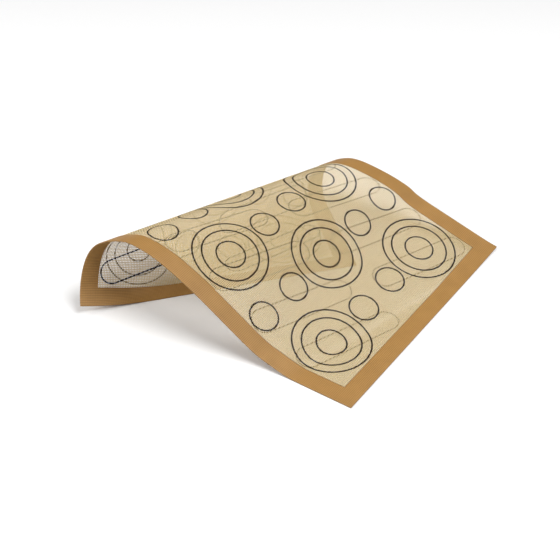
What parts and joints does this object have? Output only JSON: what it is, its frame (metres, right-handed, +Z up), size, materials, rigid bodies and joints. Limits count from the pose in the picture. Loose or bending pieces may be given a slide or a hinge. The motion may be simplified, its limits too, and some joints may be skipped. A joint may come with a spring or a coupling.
{
  "type": "silicone baking mat",
  "caption": "Rectangular open-mesh silicone baking mat with a solid border and printed shaping guides, curled diagonally over on itself.",
  "frame": {"origin": "middle of the room that the curled mat takes, at the level of the table it lies on", "axes": "+Z up from the table, +Y along the mat's flat right edge from its front corner to its back one, and the mat runs towards -X from that edge, rises over the arch and ends under it"},
  "size_m": [0.3136, 0.3414, 0.0893],
  "materials": {
    "coated_mesh": "woven glass mesh in translucent cream silicone, open holes",
    "border_silicone": "satin tan silicone over the weave",
    "brown_ink": "matt dark brown silicone ink",
    "dark_ink": "matt blue-black silicone ink"
  },
  "bodies": {
    "root": {"mesh_fabric": "coated_mesh", "border_upper": "border_silicone", "border_lower": "border_silicone", "outer_rings": "brown_ink", "middle_rings": "brown_ink", "inner_rings": "brown_ink", "single_rings": "brown_ink", "finger_guides": "dark_ink"}
  },
  "joints": []
}
